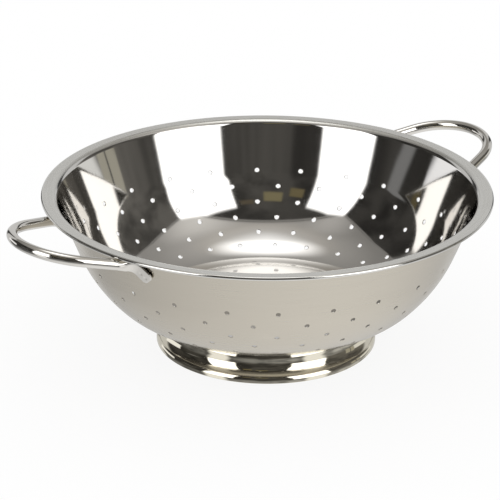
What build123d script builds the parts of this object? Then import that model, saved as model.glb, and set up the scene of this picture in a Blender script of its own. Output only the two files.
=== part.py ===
from build123d import *
import math
import os

# A round steel colander: a pressed bowl on a foot ring, with two bent tube handles welded to its wall.
# Millimetres and degrees. The origin is the middle of the foot's underside, +Z is up,
# and +X points along the handles, towards handle_right.

# Bowl: dish, flange and curled rim, all one sheet
rim_radius = 150.0
rim_height = 106.8
bowl_sheet = 0.6
curl_radius = 1.2
curl_turn_deg = 270.0
flange_width = 6.4
flange_rise_deg = 3.5
mouth_bend = 4.4
wall_lean_deg = 21.3
base_height = 22.4
base_edge_deg = 8.5
base_edge_arc = 2.6

# Straight run of the wall, and arcs of the wall and of the knuckle below it, as shares of the bowl's depth
wall_run_share = 0.4076
wall_arc_share = 1.1765
knuckle_arc_share = 0.6754

# Perforations: paired holes in staggered rows on the wall, rings of holes in the flat base
hole_diameter = 3.0
row_count = 6
segment_count = 12
pair_gap_deg = 14.3
pair_turn_deg = 19.8
row_stagger_deg = 7.1
base_ring_count = 3
holes_per_ring_step = 6
cut_overrun = 2.0

# Run to the first row and pitch of the rows as shares of the depth, and rings as a share of the foot's opening
first_row_share = 0.391
row_pitch_share = 0.1382
base_ring_share = 0.2655

# Foot ring: an inward flange under the base, a rounded shoulder, a flared skirt and a hemmed lip
foot_inset = 75.2
foot_sheet = 0.8
foot_flange_run = 11.5
hem_height = 1.5
hem_round = 0.4

# Arcs of the foot's shoulder, skirt and lip as shares of its height
shoulder_arc_share = 0.3801
skirt_arc_share = 0.4977
lip_arc_share = 0.2036

# Handles: a straight leg each side of one round loop, in a plane that rises outwards
tube_radius = 3.5
tube_wall = 0.8
handle_reach = 36.0
handle_drop = 3.8
handle_rise_deg = 11.9
loop_radius = 38.2
leg_splay_deg = 18.8
handle_skew_deg = 1.74

# Tangs: the flattened tube ends, pressed to the curve of the wall
tang_length = 12.5
tang_width = 10.6
tang_thickness = 2.0
tang_corner = 3.4
tang_fall_deg = 48.0
squash_run = 9.0
fold_run = 4.0
fold_thickness = 3.8

# Spot welds: nuggets that bridge the gap between two sheets
weld_gap = 0.3
weld_clearance = 0.03
handle_weld_diameter = 3.4
handle_weld_spacing = 4.0
handle_weld_inset = 3.2
electrode_dent = 0.35
foot_weld_count = 7
foot_weld_diameter = 4.0
foot_weld_inset = 2.6
foot_weld_turn_deg = 30.0

# Mouth of the bowl: the bend between the flange and the wall, and the top of the wall's outer side
bowl_depth = rim_height - base_height
wall_lean = math.radians(wall_lean_deg)
flange_rise = math.radians(flange_rise_deg)
curl_centre = (rim_radius - curl_radius, rim_height)
bend_r = rim_radius - flange_width
bend_drop = mouth_bend + bowl_sheet - curl_radius + (curl_centre[0] - bend_r) * math.sin(flange_rise)
bend_z = rim_height - bend_drop / math.cos(flange_rise)
wall_top_r = bend_r - mouth_bend * math.cos(wall_lean)
wall_top_z = bend_z + mouth_bend * math.sin(wall_lean)

# Arcs of the wall, of the knuckle and of the edge round the flat base, each tangent to what it meets
wall_run = wall_run_share * bowl_depth
wall_arc = wall_arc_share * bowl_depth
knuckle_arc = knuckle_arc_share * bowl_depth
wall_arc_offset = wall_top_r - wall_run * math.sin(wall_lean) - wall_arc * math.cos(wall_lean)
wall_centre_z = wall_top_z - wall_run * math.cos(wall_lean) + wall_arc * math.sin(wall_lean)
base_edge = math.radians(base_edge_deg)
knuckle_centre_z = base_height + base_edge_arc + (knuckle_arc - base_edge_arc) * math.cos(base_edge)
knuckle_end = math.asin((wall_centre_z - knuckle_centre_z) / (wall_arc - knuckle_arc))
knuckle_end_deg = math.degrees(knuckle_end)
knuckle_centre_r = wall_arc_offset + (wall_arc - knuckle_arc) * math.cos(knuckle_end)
flat_radius = knuckle_centre_r + (knuckle_arc - base_edge_arc) * math.sin(base_edge)

# Sizes and places of the foot that follow from the sizes above
foot_top = base_height - weld_gap
shoulder_arc = shoulder_arc_share * foot_top
skirt_arc = skirt_arc_share * foot_top
lip_arc = lip_arc_share * foot_top
skirt_lean = math.asin((foot_top - shoulder_arc - hem_height) / (skirt_arc + lip_arc))
foot_radius = rim_radius - foot_inset
neck_radius = foot_radius - (skirt_arc + lip_arc) * (1 - math.cos(skirt_lean))
foot_opening_radius = neck_radius - shoulder_arc - foot_flange_run


def on_circle(centre, radius, angle_deg):
    """Point of a circle in the plane of radius and height."""
    angle = math.radians(angle_deg)
    return centre[0] + radius * math.cos(angle), centre[1] + radius * math.sin(angle)


def arc_between(centre, radius, start_deg, end_deg):
    """Arc of a circle from one angle to another, either way round."""
    return CenterArc(centre, radius, start_deg, end_deg - start_deg)


def joined_outline(pieces):
    """Face inside a closed run of arcs, with straight lines between their ends."""
    edges = []
    for index, piece in enumerate(pieces):
        following = pieces[(index + 1) % len(pieces)]
        edges.append(piece)
        if (following @ 0 - piece @ 1).length > 1e-6:
            edges.append(Line(piece @ 1, following @ 0))
    return make_face(edges)


def bowl_section():
    """Half section of the bowl's sheet, from the axis out to the end of the curl."""
    bend = (bend_r, bend_z)
    bend_start_deg = 180.0 - wall_lean_deg
    wall = (wall_arc_offset, wall_centre_z)
    knuckle = (knuckle_centre_r, knuckle_centre_z)
    curl_start_deg = 90.0 + flange_rise_deg
    curl_end_deg = curl_start_deg - curl_turn_deg
    edge = (flat_radius, base_height + base_edge_arc)
    edge_end_deg = base_edge_deg - 90.0
    inside = base_height + bowl_sheet
    pieces = [
        Line((0, inside), (flat_radius, inside)),
        arc_between(edge, base_edge_arc - bowl_sheet, -90.0, edge_end_deg),
        arc_between(knuckle, knuckle_arc - bowl_sheet, edge_end_deg, -knuckle_end_deg),
        arc_between(wall, wall_arc - bowl_sheet, -knuckle_end_deg, -wall_lean_deg),
        arc_between(bend, mouth_bend + bowl_sheet, bend_start_deg, curl_start_deg),
        arc_between(curl_centre, curl_radius, curl_start_deg, curl_end_deg),
        arc_between(curl_centre, curl_radius - bowl_sheet, curl_end_deg, curl_start_deg),
        arc_between(bend, mouth_bend, curl_start_deg, bend_start_deg),
        arc_between(wall, wall_arc, -wall_lean_deg, -knuckle_end_deg),
        arc_between(knuckle, knuckle_arc, -knuckle_end_deg, edge_end_deg),
        arc_between(edge, base_edge_arc, edge_end_deg, -90.0),
        Line((flat_radius, base_height), (0, base_height)),
    ]
    return Plane.XZ * joined_outline(pieces)


def wall_place(run):
    """Radius, height and dip of the outer wall's normal, a run down the sheet from the mouth's bend."""
    if run <= wall_run:
        r = wall_top_r - run * math.sin(wall_lean)
        z = wall_top_z - run * math.cos(wall_lean)
        return r, z, wall_lean_deg
    knuckle_run = wall_run + (knuckle_end - wall_lean) * wall_arc
    if run <= knuckle_run:
        dip = wall_lean + (run - wall_run) / wall_arc
        centre, radius = (wall_arc_offset, wall_centre_z), wall_arc
    else:
        dip = knuckle_end + (run - knuckle_run) / knuckle_arc
        centre, radius = (knuckle_centre_r, knuckle_centre_z), knuckle_arc
    place = on_circle(centre, radius, -math.degrees(dip))
    return place[0], place[1], math.degrees(dip)


def wall_holes():
    """Cutters for the rows of paired holes, square to the sheet."""
    cutters = []
    for row in range(row_count):
        r, z, dip_deg = wall_place((first_row_share + row * row_pitch_share) * bowl_depth)
        punch = Cylinder(hole_diameter / 2, 2 * (bowl_sheet + cut_overrun))
        punch = Pos(r, 0, z) * Rot(0, 90.0 + dip_deg, 0) * punch
        stagger_deg = row_stagger_deg * (row % 2)
        for segment in range(segment_count):
            middle_deg = pair_turn_deg - stagger_deg + segment * 360.0 / segment_count
            for side in (-0.5, 0.5):
                cutters.append(Rot(0, 0, middle_deg + side * pair_gap_deg) * punch)
    return cutters


def base_holes():
    """Cutters for the middle hole and the rings of holes in the flat base."""
    punch = Pos(0, 0, base_height + bowl_sheet / 2) * Cylinder(hole_diameter / 2, bowl_sheet + cut_overrun)
    cutters = [punch]
    for ring in range(1, base_ring_count + 1):
        count = ring * holes_per_ring_step
        for index in range(count):
            turn_deg = pair_turn_deg + index * 360.0 / count
            ring_radius = ring * base_ring_share * foot_opening_radius
            cutters.append(Rot(0, 0, turn_deg) * Pos(ring_radius, 0, 0) * punch)
    return cutters


def make_bowl():
    """Bowl with its flange, curled rim and perforations."""
    bowl = revolve(bowl_section(), Axis.Z)
    return bowl - (wall_holes() + base_holes())


def make_foot():
    """Foot ring turned from its half section."""
    lean_deg = math.degrees(skirt_lean)
    shoulder = (neck_radius - shoulder_arc, foot_top - shoulder_arc)
    skirt = (neck_radius + skirt_arc, foot_top - shoulder_arc)
    lip = (foot_radius - lip_arc, hem_height)
    hem_inside = foot_radius - 2 * foot_sheet
    skirt_end_deg = 180.0 + lean_deg
    pieces = [
        Line((foot_opening_radius, foot_top), (shoulder[0], foot_top)),
        arc_between(shoulder, shoulder_arc, 90.0, 0.0),
        arc_between(skirt, skirt_arc, 180.0, skirt_end_deg),
        arc_between(lip, lip_arc, lean_deg, 0.0),
        arc_between((foot_radius - hem_round, hem_round), hem_round, 0.0, -90.0),
        arc_between((hem_inside + hem_round, hem_round), hem_round, -90.0, -180.0),
        Line((hem_inside, hem_height), (foot_radius - foot_sheet, hem_height)),
        arc_between(lip, lip_arc - foot_sheet, 0.0, lean_deg),
        arc_between(skirt, skirt_arc + foot_sheet, skirt_end_deg, 180.0),
        arc_between(shoulder, shoulder_arc - foot_sheet, 0.0, 90.0),
        Line((shoulder[0], foot_top - foot_sheet), (foot_opening_radius, foot_top - foot_sheet)),
    ]
    return revolve(Plane.XZ * joined_outline(pieces), Axis.Z)


def make_foot_welds():
    """Nuggets between the foot's flange and the underside of the base."""
    weld_radius = neck_radius - shoulder_arc - foot_weld_inset
    nugget = Pos(weld_radius, 0, foot_top + weld_gap / 2) * Cylinder(foot_weld_diameter / 2, weld_gap)
    turns = [foot_weld_turn_deg + index * 360.0 / foot_weld_count for index in range(foot_weld_count)]
    return [Rot(0, 0, turn_deg) * nugget for turn_deg in turns]


# The handle's plane, with its first axis running outwards and its second across the handle
handle_plane = Plane(
    origin=(rim_radius, 0, rim_height - handle_drop),
    x_dir=(math.cos(math.radians(handle_rise_deg)), 0, math.sin(math.radians(handle_rise_deg))),
    z_dir=(-math.sin(math.radians(handle_rise_deg)), 0, math.cos(math.radians(handle_rise_deg))),
)
loop_centre = (handle_reach / math.cos(math.radians(handle_rise_deg)) - loop_radius, 0)
leg_start = on_circle(loop_centre, loop_radius, 90.0 - leg_splay_deg)
leg_heading = on_circle((0, 0), 1, 180.0 - leg_splay_deg)


def leg_point(run):
    """Point of the leg's centre line, a run inwards from the end of the loop."""
    local = (leg_start[0] + run * leg_heading[0], leg_start[1] + run * leg_heading[1])
    return handle_plane.from_local_coords(Vector(*local))


def leg_length():
    """Run of the leg to the middle of the tang's thickness, found by halving."""
    near, far = 0.0, rim_radius
    for step in range(60):
        run = (near + far) / 2
        point = leg_point(run)
        wall_r = wall_top_r - (wall_top_z - point.Z) * math.tan(wall_lean)
        off_wall = (math.hypot(point.X, point.Y) - wall_r) * math.cos(wall_lean)
        if off_wall > weld_gap + tang_thickness / 2:
            near = run
        else:
            far = run
    return (near + far) / 2


def tang_frame(run):
    """Plane on the tang's middle surface, a run along it from the fold, heading along the tang."""
    fold = leg_point(leg_length())
    fall = math.radians(tang_fall_deg)
    fold_run_down = (wall_top_z - fold.Z) / math.cos(wall_lean)
    r, z, dip_deg = wall_place(fold_run_down + run * math.sin(fall))
    turn = math.atan2(fold.Y, fold.X) + run * math.cos(fall) / r
    dip = math.radians(dip_deg)
    outward = Vector(math.cos(turn) * math.cos(dip), math.sin(turn) * math.cos(dip), -math.sin(dip))
    level = Vector(-math.sin(turn), math.cos(turn), 0)
    down = Vector(-math.cos(turn) * math.sin(dip), -math.sin(turn) * math.sin(dip), -math.cos(dip))
    heading = level * math.cos(fall) + down * math.sin(fall)
    origin = Vector(r * math.cos(turn), r * math.sin(turn), z) + outward * (weld_gap + tang_thickness / 2)
    return Plane(origin=origin, x_dir=heading, z_dir=outward)


def weld_frames():
    """Planes on the tang's middle surface at its two welds, the nearer to the tip first."""
    near_tip = tang_length - handle_weld_inset
    return [tang_frame(near_tip), tang_frame(near_tip - handle_weld_spacing)]


def wall_envelope(gap):
    """Solid inside a surface that keeps a gap to the outer wall and to the underside of the mouth bend."""
    wall = arc_between((wall_arc_offset, wall_centre_z), wall_arc + gap, -knuckle_end_deg, -wall_lean_deg)
    bend = arc_between((bend_r, bend_z), mouth_bend - gap, 180.0 - wall_lean_deg, 90.0 + flange_rise_deg)
    axis = Line((0, (bend @ 1).Y), (0, (wall @ 0).Y))
    return revolve(Plane.XZ * joined_outline([wall, bend, axis]), Axis.Z)


def oval(place, across, thick):
    """Flattened section of the tube, its width along the plane's first axis."""
    return place * Ellipse(across / 2, thick / 2)


def section_plane(origin, heading, side):
    """Plane square to a heading, with its first axis along the tang's width."""
    return Plane(origin=origin, x_dir=side - heading * side.dot(heading), z_dir=heading)


def make_leg_end():
    """Squashed tube, fold and tang of the leg on the handle's +Y side, and the bore's squashed end."""
    run = leg_length()
    leg_line = (leg_point(run) - leg_point(0)).normalized()
    root = tang_frame(fold_run)
    side = root.y_dir
    start = section_plane(leg_point(run - squash_run), leg_line, side)
    fold_heading = (leg_line + root.x_dir).normalized()
    fold = section_plane(leg_point(run - fold_run), fold_heading, side)
    end = section_plane(root.origin, root.x_dir, side)
    squashed = loft([
        oval(start, 2 * tube_radius, 2 * tube_radius),
        oval(fold, (2 * tube_radius + tang_width) / 2, fold_thickness),
        oval(end, tang_width, tang_thickness),
    ])
    bore_radius = tube_radius - tube_wall
    bore_end = section_plane(leg_point(run - (squash_run + fold_run) / 2), leg_line, side)
    bore = loft([
        oval(start, 2 * bore_radius, 2 * bore_radius),
        oval(bore_end, 2 * bore_radius, fold_thickness),
    ])
    middle = tang_frame(tang_length / 2)
    outline = RectangleRounded(tang_length, tang_width, tang_corner)
    block = extrude(middle * outline, tang_thickness + cut_overrun, both=True)
    inside = wall_envelope(weld_gap)
    tang = (block & wall_envelope(weld_gap + tang_thickness)) - inside
    for spot in weld_frames():
        dent_radius = (handle_weld_diameter ** 2 / 4 + electrode_dent ** 2) / (2 * electrode_dent)
        tang -= spot * Pos(0, 0, tang_thickness / 2 - electrode_dent + dent_radius) * Sphere(dent_radius)
    return squashed - inside + tang, bore


def make_handle():
    """One hollow handle along +X, with both ends squashed, folded and laid on the wall."""
    straight = leg_length() - squash_run
    loop = CenterArc(loop_centre, loop_radius, leg_splay_deg - 90.0, 180.0 - 2 * leg_splay_deg)
    leg_end = (leg_start[0] + straight * leg_heading[0], leg_start[1] + straight * leg_heading[1])
    far_leg = Line((leg_end[0], -leg_end[1]), loop @ 0)
    near_leg = Line(loop @ 1, leg_end)
    path = handle_plane * Wire([far_leg, loop, near_leg])
    mouth = Plane(origin=path @ 0, z_dir=path % 0)
    end, bore_end = make_leg_end()
    outside = sweep(mouth * Circle(tube_radius), path) + end + mirror(end, Plane.XZ)
    bore = sweep(mouth * Circle(tube_radius - tube_wall), path) + bore_end + mirror(bore_end, Plane.XZ)
    return outside - bore


def make_handle_welds():
    """Nuggets between the wall and the tangs of one handle, two for each tang."""
    inside = wall_envelope(weld_clearance)
    outside = wall_envelope(weld_gap - weld_clearance)
    nuggets = []
    for spot in weld_frames():
        plug = spot * Cylinder(handle_weld_diameter / 2, 2 * (tang_thickness + weld_gap))
        nugget = (plug & outside) - inside
        nuggets += [nugget, mirror(nugget, Plane.XZ)]
    return nuggets


def write_node(name, shape):
    """Write one node's solids to its own file."""
    export_step(shape, os.path.join("parts", name + ".step"))


os.makedirs("parts", exist_ok=True)
handle = make_handle()
handle_welds = make_handle_welds()
handle_turns = {"handle_right": handle_skew_deg, "handle_left": 180.0 - handle_skew_deg}

write_node("bowl", make_bowl())
write_node("foot_ring", make_foot())
write_node("foot_welds", Compound(children=make_foot_welds()))
for name, turn_deg in handle_turns.items():
    write_node(name, Rot(0, 0, turn_deg) * handle)
all_welds = [Rot(0, 0, turn_deg) * nugget for turn_deg in handle_turns.values() for nugget in handle_welds]
write_node("handle_welds", Compound(children=all_welds))
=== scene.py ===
import math
import bpy
import numpy as np
from mathutils import Matrix, Vector
from mathutils.geometry import delaunay_2d_cdt


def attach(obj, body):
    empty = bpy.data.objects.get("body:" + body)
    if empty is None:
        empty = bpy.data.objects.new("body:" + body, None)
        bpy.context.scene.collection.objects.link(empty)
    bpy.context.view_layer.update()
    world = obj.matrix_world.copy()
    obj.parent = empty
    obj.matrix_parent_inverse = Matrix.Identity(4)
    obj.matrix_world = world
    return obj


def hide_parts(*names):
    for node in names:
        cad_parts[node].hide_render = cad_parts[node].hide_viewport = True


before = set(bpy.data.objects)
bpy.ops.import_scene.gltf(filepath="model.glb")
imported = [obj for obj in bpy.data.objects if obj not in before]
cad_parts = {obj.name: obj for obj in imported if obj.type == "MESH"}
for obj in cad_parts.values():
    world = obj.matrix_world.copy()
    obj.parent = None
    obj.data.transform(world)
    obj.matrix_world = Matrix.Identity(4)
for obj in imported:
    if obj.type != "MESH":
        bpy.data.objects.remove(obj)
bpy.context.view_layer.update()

# Lengths are in millimetres and turned to metres when a mesh is made. +X runs along the handles.
MM = 0.001
SLACK = 1e-9

# Bowl sheet
RIM_RADIUS = 150.0
RIM_HEIGHT = 106.8
SHEET = 0.6
CURL_RADIUS = 1.2
CURL_TURN_DEG = 270.0
FLANGE_WIDTH = 6.4
FLANGE_RISE_DEG = 3.5
MOUTH_BEND = 4.4
WALL_LEAN_DEG = 21.3
BASE_HEIGHT = 22.4
EDGE_DEG = 8.5
EDGE_ARC = 2.6
DEPTH = RIM_HEIGHT - BASE_HEIGHT
WALL_RUN = 0.4076 * DEPTH
WALL_ARC = 1.1765 * DEPTH
KNUCKLE_ARC = 0.6754 * DEPTH

# Mouth of the bowl: the bend between the flange and the wall, and the top of the wall's outer side
WALL_LEAN = math.radians(WALL_LEAN_DEG)
FLANGE_RISE = math.radians(FLANGE_RISE_DEG)
CURL_R = RIM_RADIUS - CURL_RADIUS
BEND_R = RIM_RADIUS - FLANGE_WIDTH
BEND_DROP = MOUTH_BEND + SHEET - CURL_RADIUS + (CURL_R - BEND_R) * math.sin(FLANGE_RISE)
BEND_Z = RIM_HEIGHT - BEND_DROP / math.cos(FLANGE_RISE)
WALL_TOP_R = BEND_R - MOUTH_BEND * math.cos(WALL_LEAN)
WALL_TOP_Z = BEND_Z + MOUTH_BEND * math.sin(WALL_LEAN)

# Arcs of the wall and of the knuckle
WALL_R = WALL_TOP_R - WALL_RUN * math.sin(WALL_LEAN) - WALL_ARC * math.cos(WALL_LEAN)
WALL_Z = WALL_TOP_Z - WALL_RUN * math.cos(WALL_LEAN) + WALL_ARC * math.sin(WALL_LEAN)
EDGE_TURN = math.radians(EDGE_DEG)
KNUCKLE_Z = BASE_HEIGHT + EDGE_ARC + (KNUCKLE_ARC - EDGE_ARC) * math.cos(EDGE_TURN)
KNUCKLE_TURN = math.asin((WALL_Z - KNUCKLE_Z) / (WALL_ARC - KNUCKLE_ARC))
KNUCKLE_END = math.degrees(KNUCKLE_TURN)
KNUCKLE_R = WALL_R + (WALL_ARC - KNUCKLE_ARC) * math.cos(KNUCKLE_TURN)
FLAT_R = KNUCKLE_R + (KNUCKLE_ARC - EDGE_ARC) * math.sin(EDGE_TURN)

# Perforations
HOLE_RADIUS = 1.5
ROWS = 6
FIRST_ROW = 0.391 * DEPTH
ROW_PITCH = 0.1382 * DEPTH
SEGMENTS = 12
PAIR_GAP_DEG = 14.3
PAIR_TURN_DEG = 19.8
ROW_STAGGER_DEG = 7.1
BASE_RINGS = 3
HOLES_PER_RING_STEP = 6

# Rolled edge round each hole: its run, and its profile's stops with a tilt in degrees, and with the places
# outwards and down as shares of the run
HOLE_EDGE = 0.47
HOLE_EDGE_PROFILE = (
    (0.0, 1.0, 0.0),
    (8.0, 0.64, 0.02),
    (18.0, 0.36, 0.075),
    (35.0, 0.17, 0.16),
    (60.0, 0.04, 0.26),
    (90.0, 0.0, 0.42),
)

# Gap between the sheets, which the weld nuggets bridge
WELD_GAP = 0.3

# Foot ring
FOOT_TOP = BASE_HEIGHT - WELD_GAP
FOOT_SHEET = 0.8
FOOT_INSET = 75.2
FOOT_FLANGE = 11.5
FOOT_EDGE_ROUND = 0.2
SHOULDER = 0.3801 * FOOT_TOP
SKIRT = 0.4977 * FOOT_TOP
LIP = 0.2036 * FOOT_TOP
HEM = 1.5
HEM_ROUND = 0.4
HEM_EDGE_ROUND = 0.35
HEM_GAP = 0.05
FOOT_RADIUS = RIM_RADIUS - FOOT_INSET
FOOT_LEAN = math.asin((FOOT_TOP - SHOULDER - HEM) / (SKIRT + LIP))
NECK_RADIUS = FOOT_RADIUS - (SKIRT + LIP) * (1 - math.cos(FOOT_LEAN))
FOOT_OPENING = NECK_RADIUS - SHOULDER - FOOT_FLANGE
BASE_RING = 0.2655 * FOOT_OPENING

# Handles
TUBE = 3.5
HANDLE_REACH = 36.0
HANDLE_DROP = 3.8
HANDLE_RISE = math.radians(11.9)
LOOP_RADIUS = 38.2
LEG_SPLAY = math.radians(18.8)
HANDLE_SKEW_DEG = 1.74
LOOP_X = HANDLE_REACH / math.cos(HANDLE_RISE) - LOOP_RADIUS
LEG_START = (LOOP_X + LOOP_RADIUS * math.sin(LEG_SPLAY), LOOP_RADIUS * math.cos(LEG_SPLAY))
TANG_LENGTH = 12.5
TANG_WIDTH = 10.6
TANG_THICK = 2.0
TANG_CORNER = 3.4
TANG_FALL = math.radians(48.0)
SQUASH_RUN = 9.0

# Powers of the ovals of the tube's and the tang's sections
TUBE_POWER = 2.0
TANG_POWER = 3.6

# Fold between leg and tang: run before the wall where it starts, run of the tang where it ends, how far its
# ends pull the curve between them, and how much sooner it is thin than wide
FOLD_START = 1.5 * SQUASH_RUN
FOLD_END = 4.5
FOLD_PULL = 0.40
FOLD_THINNING = 1.1

# Tip of the tang: share of its corner from which it thins, share that it thins by, and its end's bulge
TIP_THIN_FROM = 0.93
TIP_THIN_BY = 0.6
TIP_BULGE = 0.02

# Welds of a tang, with a dent and a ridge round it, whose place, width and reach are in radii of the weld.
# The outer face begins at a share of the thickness from the middle.
TANG_WELD = 3.4
TANG_WELD_SPACING = 4.0
TANG_WELD_INSET = 3.2
TANG_DENT = 0.35
DENT_RIDGE = 0.05
DENT_RIDGE_AT = 1.05
DENT_RIDGE_WIDTH = 0.15
DENT_REACH = 1.35
OUTER_FACE_SHARE = 0.2

# Grid of the bowl's mesh: columns, longest steps along the base, the wall, the flange and the curl, radius
# inside which the base has a mesh of its own, and reach of a hole's patch past the hole
COLUMNS = 1080
BASE_STEP = 1.5
WALL_STEP = 0.66
FLANGE_STEP = 0.4
CURL_STEP = 0.22
BASE_MESH_RADIUS = 58.0
PATCH_MARGIN = 0.75

# Share of the mouth's bend that has the mirror finish, and the rounded edge at the curl's end
MIRROR_BEND_SHARE = 0.45
CURL_END_TURNS_DEG = (45.0, 90.0, 135.0)
CURL_END_BULGE = 0.6

# Mesh of the base: points round a hole, gaps from it to the even points and to its halo, pitch of the even
# points, and the seam, whose rings have an inset and one point for so many columns
BASE_HOLE_COLUMNS = 32
BASE_HOLE_MARGIN = 1.1
BASE_HALO = 0.45
BASE_PITCH = 1.7
BASE_SEAM_RINGS = ((0.5, 2), (1.4, 4))
BASE_SEAM_WIDTH = 2.6
TRIANGLE_SLACK = 1e-7

# Meshes of the foot and the handles
FOOT_COLUMNS = 720
FOOT_STEP = 0.5
FOOT_FINE_STEP = 0.12
FOOT_FINE_RUN = 1.2
TUBE_COLUMNS = 56
LOOP_STEPS = 60
LEG_STEP = 1.0
FOLD_STEPS = 36
TANG_STEPS = 14
TIP_STEPS = 14
HALVINGS = 60

# Finish: scales of the noises per metre, how far a turning mark is drawn out round the axis, its depth in
# metres, ranges of noise in which the steel turns rubbed and scratched, and the patches' part in its shade
TURNING_SCALE = 900.0
TURNING_STRETCH = 0.004
TURNING_DEPTH = 0.0000012
SCRATCH_SCALE = 2600.0
PATCH_SCALE = 45.0
WAVE_SCALE = 45.0
RUBBED = (0.5, 0.7)
SCRATCHED = (0.66, 0.74)
PATCHES_IN_SHADE = 0.6

# Blue that a warm grey loses for each share of red that it gains
BLUE_LOSS = 1.6

# Some parts of the bowl's path, by their order, and material slots of the bowl
WALL_PART, STRAIGHT_PART, BEND_PART, CURL_PART = 3, 4, 5, 7
MIRROR_SLOT, FLANGE_SLOT, OUTSIDE_SLOT, BASE_SLOT, CURL_SLOT = range(5)


class Path:
    """Run of arcs and lines in the plane of radius and height, with a normal on one side.

    A part has its start, its run and the function that turns shares of it into radius, height and normal.
    """

    def __init__(self):
        self.parts = []
        self.length = 0.0

    def add(self, run, place):
        self.parts.append((self.length, run, place))
        self.length += run

    def line(self, start, end, normal):
        def place(share):
            r, z = (a + share * (b - a) for a, b in zip(start, end))
            return r, z, np.full_like(share, normal[0]), np.full_like(share, normal[1])

        self.add(math.dist(start, end), place)

    def arc(self, centre, radius, start_deg, end_deg, facing):
        def place(share):
            angle = math.radians(start_deg) + share * (math.radians(end_deg) - math.radians(start_deg))
            cos, sin = np.cos(angle), np.sin(angle)
            return centre[0] + radius * cos, centre[1] + radius * sin, facing * cos, facing * sin

        self.add(abs(math.radians(end_deg - start_deg)) * radius, place)

    def at(self, s):
        """Radius, height and normal at the runs s, as an array of four rows."""
        s = np.atleast_1d(np.asarray(s, float))
        out = np.zeros((4,) + s.shape)
        for low, run, place in self.parts:
            inside = (s >= low - SLACK) & (s <= low + run + SLACK)
            out[:, inside] = place(np.clip((s[inside] - low) / max(run, SLACK), 0, 1))
        return out

    def stations(self, step, low, high):
        """Runs along the path, no further apart than step, with every joint of its parts among them."""
        marks = sorted({low, high} | {start for start, _, _ in self.parts if low < start < high})
        runs = [low]
        for a, b in zip(marks, marks[1:]):
            count = max(1, math.ceil((b - a) / step))
            runs += [a + (b - a) * (k + 1) / count for k in range(count)]
        return np.array(runs)


def wall_place(run):
    """Radius, height and dip of the outer wall's normal, a run down the straight part of the wall."""
    return WALL_TOP_R - run * math.sin(WALL_LEAN), WALL_TOP_Z - run * math.cos(WALL_LEAN), WALL_LEAN


def bowl_path():
    """Top side of the bowl's sheet from the base's edge out to the end of the curl."""
    wall = (WALL_R, WALL_Z)
    knuckle = (KNUCKLE_R, KNUCKLE_Z)
    bend = (BEND_R, BEND_Z)
    curl = (CURL_R, RIM_HEIGHT)
    up = 90.0 + FLANGE_RISE_DEG
    cos, sin = math.cos(math.radians(up)), math.sin(math.radians(up))
    path = Path()
    path.line((0.0, BASE_HEIGHT + SHEET), (FLAT_R, BASE_HEIGHT + SHEET), (0.0, 1.0))
    path.arc((FLAT_R, BASE_HEIGHT + EDGE_ARC), EDGE_ARC - SHEET, -90.0, EDGE_DEG - 90.0, -1)
    path.arc(knuckle, KNUCKLE_ARC - SHEET, EDGE_DEG - 90.0, -KNUCKLE_END, -1)
    path.arc(wall, WALL_ARC - SHEET, -KNUCKLE_END, -WALL_LEAN_DEG, -1)
    inward = (-math.cos(WALL_LEAN), math.sin(WALL_LEAN))
    ends = []
    for r, z, _ in (wall_place(WALL_RUN), wall_place(0.0)):
        ends.append((r + SHEET * inward[0], z + SHEET * inward[1]))
    path.line(*ends, inward)
    path.arc(bend, MOUTH_BEND + SHEET, 180.0 - WALL_LEAN_DEG, up, 1)
    start = (bend[0] + (MOUTH_BEND + SHEET) * cos, bend[1] + (MOUTH_BEND + SHEET) * sin)
    end = (curl[0] + CURL_RADIUS * cos, curl[1] + CURL_RADIUS * sin)
    path.line(start, end, (cos, sin))
    path.arc(curl, CURL_RADIUS, up, up - CURL_TURN_DEG, 1)
    return path


def face_outwards(points, normals, faces):
    """Faces with their corners in the order that suits their vertices' normals."""
    corner = points[faces]
    across = np.cross(corner[:, 2] - corner[:, 0], corner[:, -1] - corner[:, 1])
    inward = (across * normals[faces].sum(1)).sum(1) < 0
    return np.where(inward[:, None], faces[:, ::-1], faces)


class Skin:
    """Vertices, normals and faces of one mesh while it is being put together."""

    def __init__(self):
        self.points = []
        self.normals = []
        self.faces = []
        self.slots = []
        self.count = 0

    def add(self, points, normals):
        """Adds vertices and returns the index of the first."""
        points = np.asarray(points, float).reshape(-1, 3)
        normals = np.asarray(normals, float).reshape(-1, 3)
        first = self.count
        self.points.append(points)
        self.normals.append(normals)
        self.count += len(points)
        return first

    def add_faces(self, faces, slot=0):
        """Adds faces with as many corners as each other, all in one material slot."""
        if len(faces):
            self.faces.append(np.asarray(faces, int))
            self.slots.append(np.full(len(faces), slot))

    def make(self, name, materials):
        """Mesh object at the origin, in metres, with the given normals."""
        points = np.concatenate(self.points) * MM
        normals = np.concatenate(self.normals)
        faces = [face_outwards(points, normals, group) for group in self.faces]
        corners = np.concatenate([group.reshape(-1) for group in faces])
        sizes = np.concatenate([np.full(len(group), group.shape[1]) for group in faces])
        starts = np.concatenate([[0], np.cumsum(sizes)[:-1]])
        mesh = bpy.data.meshes.new(name)
        mesh.vertices.add(len(points))
        mesh.vertices.foreach_set("co", points.astype(np.float32).reshape(-1))
        mesh.loops.add(len(corners))
        mesh.loops.foreach_set("vertex_index", corners.astype(np.int32))
        mesh.polygons.add(len(sizes))
        mesh.polygons.foreach_set("loop_start", starts.astype(np.int32))
        for material in materials:
            mesh.materials.append(material)
        mesh.polygons.foreach_set("material_index", np.concatenate(self.slots).astype(np.int32))
        mesh.update(calc_edges=True)
        mesh.validate()
        mesh.polygons.foreach_set("use_smooth", np.ones(len(mesh.polygons), bool))
        mesh.normals_split_custom_set_from_vertices(normals.astype(np.float32))
        mesh.update()
        obj = bpy.data.objects.new(name, mesh)
        bpy.context.scene.collection.objects.link(obj)
        return obj


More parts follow.
